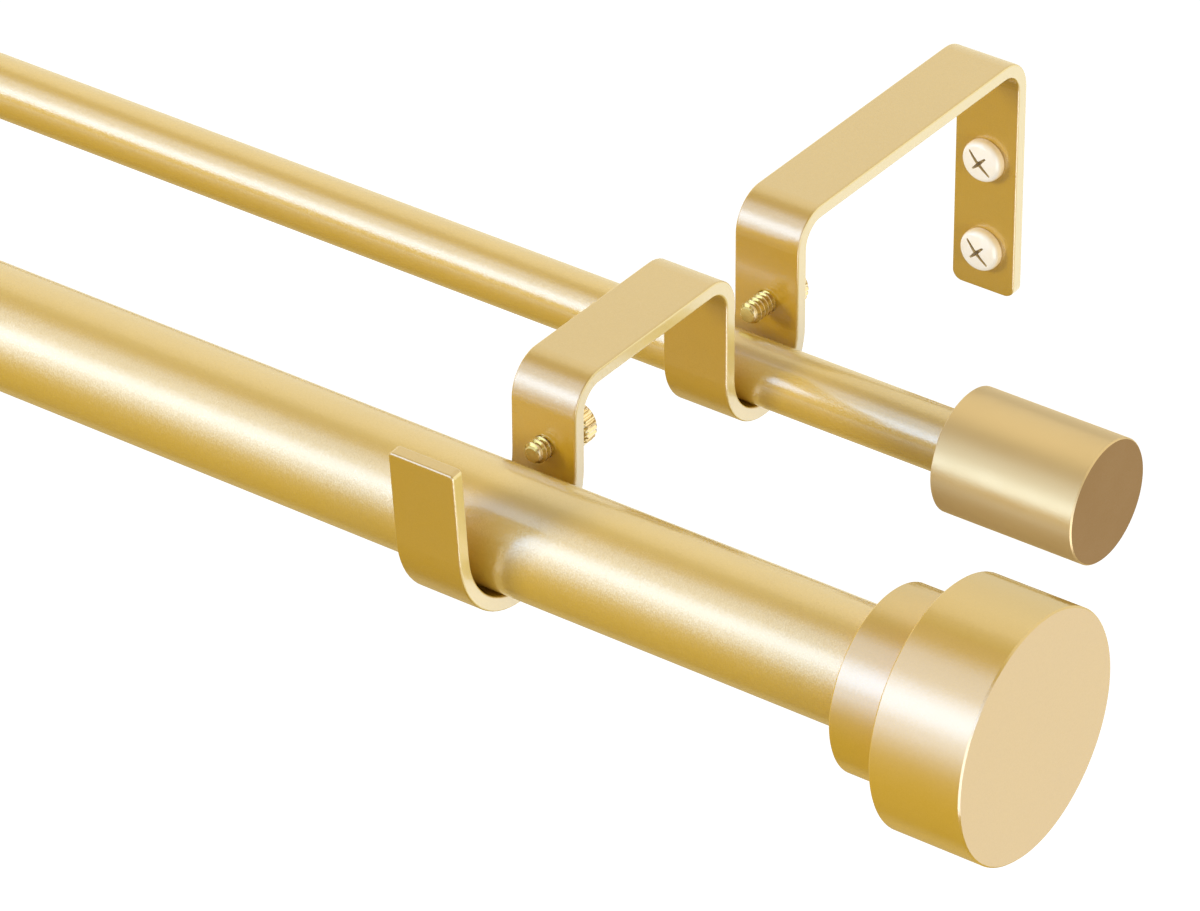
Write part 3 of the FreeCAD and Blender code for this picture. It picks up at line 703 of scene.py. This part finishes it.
def plated(name, bright, cloud, side, roughness, metallic, ior):
    """Plating with faint clouds, a fine grain, a painted-light side tone and painted recess shade.
    """
    material, tree, shader = new_finish(name)
    clouds = use_group(tree, handling, Patches_per_metre=400.0)
    scratches = use_group(tree, peel, Waves_per_metre=4000.0)
    direction = use_group(tree, facing)
    # Off the screw's axis the plating turns to the side tone: painted light.
    off_axis_painted_light = shader_node(tree, "MapRange", interpolation_type="SMOOTHSTEP")
    off_axis_painted_light.inputs["From Min"].default_value = FACE_ON
    off_axis_painted_light.inputs["From Max"].default_value = SIDEWAYS
    tree.links.new(direction.outputs["To the room"], off_axis_painted_light.inputs["Value"])
    # Faces marked as recess take the brown: painted shade.
    recess_shade_mask = shader_node(tree, "Attribute", attribute_name="recess")
    face_colour = blend_colours(tree, clouds.outputs["Mask"], bright, cloud)
    plate_colour_with_painted_light = blend_colours(tree, off_axis_painted_light.outputs["Result"], face_colour, side)
    whole_colour = blend_colours(tree, recess_shade_mask.outputs["Fac"], plate_colour_with_painted_light, RECESS_PAINTED_SHADE)
    tree.links.new(whole_colour, shader.inputs["Base Color"])
    dull_by(tree, shader, clouds.outputs["Mask"], extra=0.05, roughness=roughness)
    tree.links.new(bump(tree, scratches.outputs["Height"], 0.003 * MM), shader.inputs["Normal"])
    constants(shader, {"Metallic": metallic, "IOR": ior})
    return material


wall_screw_finish = plated(
    "pale_plating", PALE_PLATE, PALE_CLOUD, PALE_SIDE_PAINTED_SHADE, roughness=0.20, metallic=0.0, ior=1.75
)
retaining_finish = plated(
    "gold_plating", GOLD_PLATE, GOLD_CLOUD, GOLD_SIDE_PAINTED_HIGHLIGHT, roughness=0.13, metallic=0.7, ior=2.4
)
steel_finish = plated(
    "zinc_plated_steel", ZINC, ZINC_CLOUD_AND_PAINTED_SHADE, ZINC_CLOUD_AND_PAINTED_SHADE, roughness=0.32, metallic=1.0, ior=1.5
)
print(f"{wall_screw_finish.name}, {retaining_finish.name} and {steel_finish.name}")

# %% Nylon
NYLON = (0.80, 0.78, 0.72)
NYLON_CLOUD = (0.74, 0.72, 0.65)

nylon_finish, tree, shader = new_finish("white_nylon")
nylon_clouds = use_group(tree, handling, Patches_per_metre=300.0)
nylon_skin = use_group(tree, peel, Waves_per_metre=2500.0)
nylon_colour = blend_colours(tree, nylon_clouds.outputs["Mask"], NYLON, NYLON_CLOUD)
tree.links.new(nylon_colour, shader.inputs["Base Color"])
tree.links.new(bump(tree, nylon_skin.outputs["Height"], 0.01 * MM), shader.inputs["Normal"])
constants(shader, {"Roughness": 0.45, "IOR": 1.53})
print(nylon_finish.name)

# %% [markdown]
# ## Dressing the CAD nodes
# A CAD node keeps its mesh, and only its material changes. The record gives each node a slot, and
# the slot says which finish it takes, so one small table dresses all of them.

# %% Materials on the nodes
FINISH_OF_SLOT = {
    "pole_paint": pole_paint,
    "bracket_paint": bracket_paint,
    "front_finial": front_finial_finish,
    "back_finial": back_finial_finish,
    "wall_screw": wall_screw_finish,
    "retaining_screw": retaining_finish,
    "nylon": nylon_finish,
    "stud": steel_finish,
}
slot_of = {part["node"]: part["material_slot"] for part in frame["record"]["subparts"]}
for name, node in nodes.items():
    for place in node.material_slots:
        place.material = FINISH_OF_SLOT[slot_of[name]]
print(f"{len(slot_of)} nodes dressed with {len(FINISH_OF_SLOT)} finishes")

# %% [markdown]
# ## Turned shapes and threads
# A screw is turned: a profile of distance and radius, swept round the Y axis. The thread is
# one ridge wound round the shank. It could be a screw modifier, but that starts and stops with a
# hard step, so the ridge is built as a ribbon that rises at its start and sinks at its end, each
# over a third of a turn, and narrows with the screw's tip. Sizes are in millimetres, and a ridge
# has two widths: one at its foot, a little inside the shank, and one at its crest.

# %% Turned shapes
SHANK_STEPS = 44
FOOT_INSIDE = 0.1
SOFTEN_FROM = 32
SMOOTH_UP_TO = 35


def round_y(middle, along, radius, angle):
    """A point at that distance along Y, that far out and that far round."""
    return Vector((
        middle.x + radius * math.cos(angle),
        middle.y + along,
        middle.z + radius * math.sin(angle),
    )) * MM


def plain_radius(radius, step):
    """The radius at a step round a shape without teeth, which is the profile's own."""
    return radius


def turned_rings(mesh, middle, profile, around, radius_at=plain_radius):
    """Rings of points for a profile of (along, radius), closed at both ends by a fan."""
    rings = []
    for along, radius in profile:
        ring = []
        for step in range(around):
            angle = math.tau * step / around
            ring.append(mesh.verts.new(round_y(middle, along, radius_at(radius, step), angle)))
        rings.append(ring)
    for ring, following in zip(rings, rings[1:]):
        for step in range(around):
            after = (step + 1) % around
            mesh.faces.new((ring[step], ring[after], following[after], following[step]))
    for ring, (along, _) in ((rings[0], profile[0]), (rings[-1], profile[-1])):
        hub = mesh.verts.new(round_y(middle, along, 0.0, 0.0))
        for step in range(around):
            mesh.faces.new((ring[step], ring[(step + 1) % around], hub))


def wound_thread(mesh, middle, root, pitch, ridge, span, crest_at):
    """A ridge wound round a shank from span[0] to span[1]; crest_at gives its radius there."""
    steps = round((span[1] - span[0]) / pitch * SHANK_STEPS)
    rise = SHANK_STEPS / 3
    foot = root - FOOT_INSIDE
    rings = []
    for step in range(steps + 1):
        angle = math.tau * step / SHANK_STEPS
        along = span[0] + (span[1] - span[0]) * step / steps
        share = min(1.0, min(step, steps - step) / rise)
        crest = root + (crest_at(along) - root) * share
        rings.append([
            mesh.verts.new(round_y(middle, along - ridge[0] / 2, foot, angle)),
            mesh.verts.new(round_y(middle, along - ridge[1] / 2, crest, angle)),
            mesh.verts.new(round_y(middle, along + ridge[1] / 2, crest, angle)),
            mesh.verts.new(round_y(middle, along + ridge[0] / 2, foot, angle)),
        ])
    for ring, following in zip(rings, rings[1:]):
        for side in range(4):
            after = (side + 1) % 4
            mesh.faces.new((ring[side], ring[after], following[after], following[side]))
    mesh.faces.new(rings[0])
    mesh.faces.new(rings[-1])


def piece_from(mesh, name):
    """An object from a bmesh, with its normals outward."""
    bmesh.ops.recalc_face_normals(mesh, faces=mesh.faces)
    data = bpy.data.meshes.new(name)
    mesh.to_mesh(data)
    mesh.free()
    made = bpy.data.objects.new(name, data)
    bpy.context.scene.collection.objects.link(made)
    return made


def bake_modifiers(piece):
    """The piece's mesh as its modifiers leave it, with no modifier kept."""
    graph = bpy.context.evaluated_depsgraph_get()
    baked = bpy.data.meshes.new_from_object(piece.evaluated_get(graph))
    piece.modifiers.clear()
    piece.data = baked


def cut_and_soften(piece, cutter, edge):
    """Cuts the cutter out of the piece, then rounds every sharp edge by that width in mm."""
    cut = piece.modifiers.new("cut", "BOOLEAN")
    cut.operation = "DIFFERENCE"
    cut.solver = "EXACT"
    cut.object = cutter
    bake_modifiers(piece)
    bpy.data.objects.remove(cutter)
    soft = piece.modifiers.new("edge", "BEVEL")
    soft.width = edge * MM
    soft.segments = 2
    soft.limit_method = "ANGLE"
    soft.angle_limit = math.radians(SOFTEN_FROM)
    soft.harden_normals = False
    bake_modifiers(piece)


def join_shank(piece, build):
    """Adds the shells that build makes to the piece, and shades it smooth but for its edges."""
    mesh = bmesh.new()
    build(mesh)
    bmesh.ops.recalc_face_normals(mesh, faces=mesh.faces)
    shank = bpy.data.meshes.new("shank")
    mesh.to_mesh(shank)
    mesh.free()
    whole = bmesh.new()
    whole.from_mesh(piece.data)
    whole.from_mesh(shank)
    whole.to_mesh(piece.data)
    whole.free()
    bpy.data.meshes.remove(shank)
    piece.data.shade_smooth()
    piece.data.set_sharp_from_angle(angle=math.radians(SMOOTH_UP_TO))


print("helpers for turned shapes and threads")

# %% [markdown]
# ## Retaining screws
# Four of these keep the poles in their cradles. The head is a disc with coarse teeth that the
# fingers grip, and a slot for a driver in its outer face. Each piece is placed by the CAD node
# that it replaces: the node's box gives the axis and both ends, so nothing is fitted by eye.

# %% Retaining screws
HEAD_TEETH = 24
STEPS_PER_TOOTH = 4
TOOTH_DEPTH = 0.4
RETAINING = {
    "head": 4.0, "head_radius": 4.75, "edge": 0.6, "softening": 0.10,
    "slot_width": 1.2, "slot_depth": 1.4, "slot_length": 12.0,
    "root": 1.85, "radius": 2.5, "tip": 1.7, "tip_edge": 0.25, "into_head": 0.5,
    "pitch": 1.3, "ridge": (1.05, 0.22), "thread_start": 0.6,
}


def toothed(radius, step):
    """The radius at a step round the head: full on a tooth, less in the gap after it."""
    in_gap = step % STEPS_PER_TOOTH >= STEPS_PER_TOOTH / 2
    if in_gap and radius == RETAINING["head_radius"]:
        return radius - TOOTH_DEPTH
    return radius


def slot_cutter(middle, along):
    """A bar across the head's face that cuts the driver slot."""
    width = RETAINING["slot_width"]
    depth = RETAINING["slot_depth"]
    length = RETAINING["slot_length"]
    bar = bmesh.new()
    bmesh.ops.create_cube(bar, size=1.0)
    bmesh.ops.scale(bar, verts=bar.verts, vec=Vector((width, 2 * depth, length)) * MM)
    bmesh.ops.translate(bar, verts=bar.verts, vec=(middle + Vector((0, along, 0))) * MM)
    return piece_from(bar, "slot_cutter")


def retaining_screw(node, body):
    """A toothed screw in the place of that node, riding on that body."""
    low, high = (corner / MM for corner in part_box(node))
    middle = Vector(((low.x + high.x) / 2, low.y, (low.z + high.z) / 2))
    size = RETAINING
    length = high.y - low.y
    under = length - size["head"]
    small = size["head_radius"] - size["edge"]
    head = bmesh.new()
    turned_rings(head, middle, [
        (under, small),
        (under + size["edge"], size["head_radius"]),
        (length - size["edge"], size["head_radius"]),
        (length, small),
    ], STEPS_PER_TOOTH * HEAD_TEETH, toothed)
    piece = piece_from(head, node.replace("retaining", "toothed"))
    cut_and_soften(piece, slot_cutter(middle, length), size["softening"])

    def shank(mesh):
        turned_rings(mesh, middle, [
            (0.0, size["root"] - size["tip_edge"]),
            (size["tip_edge"], size["root"]),
            (under + size["into_head"], size["root"]),
        ], SHANK_STEPS)
        wound_thread(
            mesh, middle, size["root"], size["pitch"], size["ridge"],
            (size["thread_start"], under),
            lambda along: min(size["radius"], size["tip"] + along),
        )

    join_shank(piece, shank)
    piece.data.materials.clear()
    piece.data.materials.append(retaining_finish)
    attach(piece, body)
    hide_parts(node)
    return piece


BODY_OF_END = {"right": "fixed_half", "left": "sliding_half"}
for end, body in BODY_OF_END.items():
    for pole in ("front", "back"):
        made = retaining_screw(f"retaining_screw_{end}_{pole}", body)
        print(f"{made.name}: {len(made.data.polygons)} faces")

# %% [markdown]
# ## Wall screws
# A pan head has a nearly flat crown, which rounds over into a short straight rim. The recess takes
# a flat driver as well as a cross one, so one of its arms is a long narrow slot and the other is
# short. It tapers with depth, so its cutter narrows towards the point. Each screw stopped at its
# own angle, in degrees, and in the picture the long arm stands diagonally.
# The thread behind the plate is a wood thread: a sharp ridge with a wide pitch, which runs down
# the cone to the point. Its foot lies on the axis, so that it never parts from the cone.

# %% Wall screws
WALL_HEAD_STEPS = 72
WALL = {
    "head": 3.0, "head_radius": 5.0, "crown": 0.35, "shoulder": 1.7, "seat": 4.6,
    "seat_edge": 0.3, "softening": 0.06, "into_head": 0.3, "plate": 3.2,
    "neck": 2.2, "neck_slope": 0.5, "root": 1.65, "radius": 2.4, "point": 4.0, "tip": 0.12,
    "pitch": 1.9, "ridge": (0.5, 0.1), "ridge_foot": 0.1, "tip_crest": 0.1,
    "thread_ends": (0.3, 0.6),
}
CROWN_SHARES = (0.1, 0.3, 0.5, 0.7, 0.85)
CROSS = {
    "reaches": (2.5, 5.1), "half_width": 0.45, "end_share": 0.4, "depth": 1.3,
    "floor_reach": 0.9, "floor_half_width": 0.36, "above": 1.0,
}
CROSS_TURN = {"right_upper": 45, "right_lower": 44, "left_upper": 12, "left_lower": 63}
RECESS_WITHIN = 1.02
RECESS_BELOW = 0.12


def cross_cutter(middle, turn):
    """A cross-shaped plug that narrows with depth; middle is the crown of the head."""
    mesh = bmesh.new()
    depth = CROSS["depth"]
    layers = []
    for along in (-CROSS["above"], depth):
        share = along / depth
        half = CROSS["half_width"] + (CROSS["floor_half_width"] - CROSS["half_width"]) * share
        end = half * CROSS["end_share"]
        corners = []
        for quarter in range(4):
            crown_reach = CROSS["reaches"][quarter % 2]
            reach = crown_reach + (CROSS["floor_reach"] - crown_reach) * share
            start = math.radians(turn + 90 * quarter)
            ahead = Vector((math.cos(start), 0, math.sin(start)))
            beside = Vector((-math.sin(start), 0, math.cos(start)))
            arm_end = (ahead * reach - beside * end, ahead * reach + beside * end)
            for place in (*arm_end, (ahead + beside) * half):
                corners.append(mesh.verts.new((middle + place + Vector((0, along, 0))) * MM))
        layers.append(corners)
    count = len(layers[0])
    for step in range(count):
        after = (step + 1) % count
        mesh.faces.new((layers[0][step], layers[0][after], layers[1][after], layers[1][step]))
    mesh.faces.new(layers[0])
    mesh.faces.new(layers[1])
    return piece_from(mesh, "cross_cutter")


def pan_profile():
    """The head from its crown over a round shoulder to its underside, as (along, radius) in mm."""
    flat = WALL["head_radius"] - WALL["shoulder"]
    profile = []
    for share in CROWN_SHARES:
        profile.append((WALL["crown"] * share ** 2, flat * share))
    for degrees in range(10, 91, 10):
        turn = math.radians(degrees)
        fall = WALL["shoulder"] * (1 - math.cos(turn))
        profile.append((WALL["crown"] + fall, flat + WALL["shoulder"] * math.sin(turn)))
    profile.append((WALL["head"] - WALL["seat_edge"], WALL["head_radius"]))
    profile.append((WALL["head"], WALL["seat"]))
    return profile


def mark_recess(piece, crown):
    """Marks the faces of the recess, well below the crown and inside the shoulder, for painted
    shade.
    """
    data = piece.data
    inside = (WALL["head_radius"] - WALL["shoulder"]) * RECESS_WITHIN
    marks = data.attributes.new("recess", "FLOAT", "FACE")
    levels = []
    for face in data.polygons:
        place = face.center / MM - crown
        radius = math.hypot(place.x, place.z)
        surface = WALL["crown"] * (radius / inside) ** 2
        levels.append(1.0 if radius < inside and place.y > surface + RECESS_BELOW else 0.0)
    marks.data.foreach_set("value", levels)


def wall_screw(node, turn, body):
    """A pan-head wood screw in the place of that node, riding on that body."""
    low, high = (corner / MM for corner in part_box(node))
    crown = Vector(((low.x + high.x) / 2, low.y, (low.z + high.z) / 2))
    head = bmesh.new()
    turned_rings(head, crown, pan_profile(), WALL_HEAD_STEPS)
    piece = piece_from(head, node.replace("wall_screw", "pan_head_screw"))
    cut_and_soften(piece, cross_cutter(crown, turn), WALL["softening"])
    # The marked recess faces are painted brown in the plating, as shade.
    mark_recess(piece, crown)
    end = high.y - low.y
    neck_end = WALL["head"] + WALL["plate"]
    cone = end - WALL["point"]
    thread_ends = WALL["thread_ends"]

    def crest_at(along):
        on_cone = WALL["radius"] * (end - along) / WALL["point"] + WALL["tip_crest"]
        return min(WALL["radius"], on_cone)

    def shank(mesh):
        turned_rings(mesh, crown, [
            (WALL["head"] - WALL["into_head"], WALL["neck"]),
            (neck_end, WALL["neck"]),
            (neck_end + WALL["neck_slope"], WALL["root"]),
            (cone, WALL["root"]),
            (end, WALL["tip"]),
        ], SHANK_STEPS)
        wound_thread(
            mesh, crown, WALL["ridge_foot"], WALL["pitch"], WALL["ridge"],
            (neck_end + thread_ends[0], end - thread_ends[1]), crest_at,
        )

    join_shank(piece, shank)
    piece.data.materials.clear()
    piece.data.materials.append(wall_screw_finish)
    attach(piece, body)
    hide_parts(node)
    return piece


for place, turn in CROSS_TURN.items():
    made = wall_screw(f"wall_screw_{place}", turn, BODY_OF_END[place.split("_")[0]])
    print(f"{made.name}: {len(made.data.polygons)} faces")
